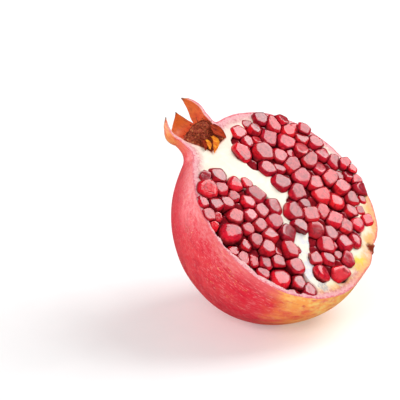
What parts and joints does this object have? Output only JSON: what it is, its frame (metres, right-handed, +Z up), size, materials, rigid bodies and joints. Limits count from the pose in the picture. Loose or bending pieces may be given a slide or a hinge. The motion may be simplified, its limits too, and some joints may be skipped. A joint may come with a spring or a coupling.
{
  "type": "pomegranate half",
  "caption": "Cut half of a fresh pomegranate lying with its cut face tilted up: skin, pith, calyx crown and beds of arils.",
  "frame": {"origin": "on the ground, under the middle of the bounding box", "axes": "+Z up off the flat spot that the fruit lies on; the cut face looks up, towards +X and -Y, and the crown points to -X and up"},
  "size_m": [0.0976, 0.1002, 0.0968],
  "materials": {
    "rind": "satin",
    "arils": "gloss",
    "stamens": "matte"
  },
  "bodies": {
    "root": {"rind": "rind", "arils_right": "arils", "arils_left": "arils", "stamens": "stamens"}
  },
  "joints": []
}
